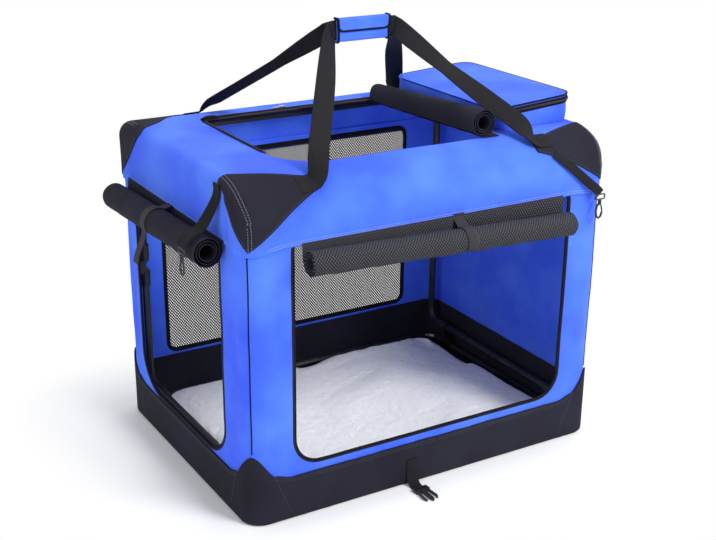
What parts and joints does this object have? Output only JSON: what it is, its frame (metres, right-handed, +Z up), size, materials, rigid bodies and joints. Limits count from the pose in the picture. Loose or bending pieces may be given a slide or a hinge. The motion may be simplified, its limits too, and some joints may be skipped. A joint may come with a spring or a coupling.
{
  "type": "soft folding dog crate",
  "caption": "Folding fabric dog crate on a hinged tube frame, with rolled-up door, window and roof panels, mesh rear window, zip pocket, carry handle and corner hooks.",
  "frame": {"origin": "centre of the flat underside", "axes": "+Z up, +X along the length away from the door end, -Y towards the side with the open window"},
  "size_m": [0.891, 0.7414, 0.8766],
  "materials": {
    "blue_cloth": "woven nylon, matt",
    "black_cloth": "woven nylon, matt",
    "webbing": "ribbed webbing",
    "net": "open mesh",
    "fleece": "deep pile",
    "tube": "satin black powder coat",
    "plastic": "moulded, fine grain",
    "slider_zinc": "die-cast, satin"
  },
  "bodies": {
    "base": {"base_tray": "black_cloth", "base_frame": "tube", "floor_mat": "fleece", "front_wall": "blue_cloth", "back_wall": "blue_cloth", "left_end_wall": "blue_cloth", "right_end_wall": "blue_cloth", "rear_window_net": "net", "window_binding": "black_cloth", "door_binding": "black_cloth", "left_front_base_clip": "plastic", "left_back_base_clip": "plastic", "right_front_base_clip": "plastic", "right_back_base_clip": "plastic"},
    "left_lower": {"left_lower_frame": "tube", "left_front_elbow_fork": "plastic", "left_back_elbow_fork": "plastic"},
    "left_upper": {"left_upper_frame": "tube", "left_front_elbow_tongue": "plastic", "left_back_elbow_tongue": "plastic"},
    "right_lower": {"right_lower_frame": "tube", "right_front_elbow_fork": "plastic", "right_back_elbow_fork": "plastic"},
    "right_upper": {"right_upper_frame": "tube", "right_front_elbow_tongue": "plastic", "right_back_elbow_tongue": "plastic"},
    "top": {"top_frame": "tube", "roof_cover": "blue_cloth", "patch_front_left": "black_cloth", "patch_front_right": "black_cloth", "patch_back_left": "black_cloth", "patch_back_right": "black_cloth", "left_front_top_clip": "plastic", "left_back_top_clip": "plastic", "right_front_top_clip": "plastic", "right_back_top_clip": "plastic", "pocket": "blue_cloth", "hatch_roll": "black_cloth", "door_roll": "black_cloth", "window_roll": "net", "door_roll_tie": "webbing", "window_roll_tie": "webbing", "front_handle_strap": "webbing", "back_handle_strap": "webbing", "left_hook_strap": "webbing", "right_hook_strap": "webbing", "left_hook_eye": "plastic", "right_hook_eye": "plastic"},
    "grip": {"handle_grip": "blue_cloth"},
    "grip_cover": {"grip_flap": "blue_cloth"},
    "lid": {"pocket_lid": "blue_cloth"},
    "left_swivel": {"left_hook": "plastic"},
    "left_gate": {"left_hook_gate": "plastic"},
    "right_swivel": {"right_hook": "plastic"},
    "right_gate": {"right_hook_gate": "plastic"},
    "front_closing": {"front_closing_strap": "webbing", "male_buckle": "plastic"},
    "rear_closing": {"rear_closing_strap": "webbing", "female_buckle": "plastic"},
    "slider": {"hatch_slider": "slider_zinc"}
  },
  "joints": [
    {"name": "left_lower_fold", "type": "hinge", "parent": "base", "child": "left_lower", "pos_m": [-0.37, 0, 0.066], "axis": [0, 1, 0], "range_deg": [0, 73], "deforming": ["front_wall", "back_wall", "left_end_wall", "right_end_wall", "rear_window_net", "window_binding", "door_binding"]},
    {"name": "left_upper_fold", "type": "hinge", "parent": "left_lower", "child": "left_upper", "pos_m": [-0.38, 0, 0.3405], "axis": [0, 1, 0], "range_deg": [-146, 0]},
    {"name": "top_fold", "type": "hinge", "parent": "left_upper", "child": "top", "pos_m": [-0.37, 0, 0.615], "axis": [0, 1, 0], "range_deg": [0, 73]},
    {"name": "right_lower_fold", "type": "hinge", "parent": "base", "child": "right_lower", "pos_m": [0.37, 0, 0.066], "axis": [0, 1, 0], "range_deg": [-73, 0]},
    {"name": "right_upper_fold", "type": "hinge", "parent": "right_lower", "child": "right_upper", "pos_m": [0.38, 0, 0.3405], "axis": [0, 1, 0], "range_deg": [0, 146]},
    {"name": "handle_drop", "type": "slide", "parent": "top", "child": "grip", "axis": [0, 0, -1], "range_m": [0, 0.155], "deforming": ["front_handle_strap", "back_handle_strap"]},
    {"name": "grip_cover_open", "type": "hinge", "parent": "grip", "child": "grip_cover", "pos_m": [-0.005, -0.0126, 0.872], "axis": [-1, 0, 0], "range_deg": [0, 150]},
    {"name": "pocket_lid_open", "type": "hinge", "parent": "top", "child": "lid", "pos_m": [0.2, 0, 0.7], "axis": [0, -1, 0], "range_deg": [0, 95], "deforming": ["front_handle_strap", "back_handle_strap"]},
    {"name": "left_hook_swivel", "type": "hinge", "parent": "top", "child": "left_swivel", "pos_m": [-0.477, -0.206, 0.5299], "axis": [0, 0, 1], "continuous": true},
    {"name": "left_gate_open", "type": "hinge", "parent": "left_swivel", "child": "left_gate", "pos_m": [-0.477, -0.2016, 0.5171], "axis": [-1, 0, 0], "range_deg": [0, 25], "stiffness_Nm_per_rad": 0.004, "springref_deg": -17.19},
    {"name": "right_hook_swivel", "type": "hinge", "parent": "top", "child": "right_swivel", "pos_m": [0.373, -0.3128, 0.5285], "axis": [0, 0, 1], "continuous": true},
    {"name": "right_gate_open", "type": "hinge", "parent": "right_swivel", "child": "right_gate", "pos_m": [0.3774, -0.3128, 0.5157], "axis": [0, 1, 0], "range_deg": [0, 25], "stiffness_Nm_per_rad": 0.004, "springref_deg": -17.19},
    {"name": "front_closing_swing", "type": "hinge", "parent": "base", "child": "front_closing", "pos_m": [-0.05, -0.3, 0.056], "axis": [-1, 0, 0], "range_deg": [0, 85]},
    {"name": "rear_closing_swing", "type": "hinge", "parent": "base", "child": "rear_closing", "pos_m": [-0.05, 0.3, 0.056], "axis": [1, 0, 0], "range_deg": [0, 85]},
    {"name": "slider_run", "type": "slide", "parent": "top", "child": "slider", "axis": [1, 0, 0], "range_m": [-0.165, 0.2]}
  ],
  "couplings": [
    {"joint": "left_upper_fold", "follows": "left_lower_fold", "ratio": -2},
    {"joint": "top_fold", "follows": "left_lower_fold", "ratio": 1},
    {"joint": "right_lower_fold", "follows": "left_lower_fold", "ratio": -1},
    {"joint": "right_upper_fold", "follows": "left_lower_fold", "ratio": 2}
  ]
}
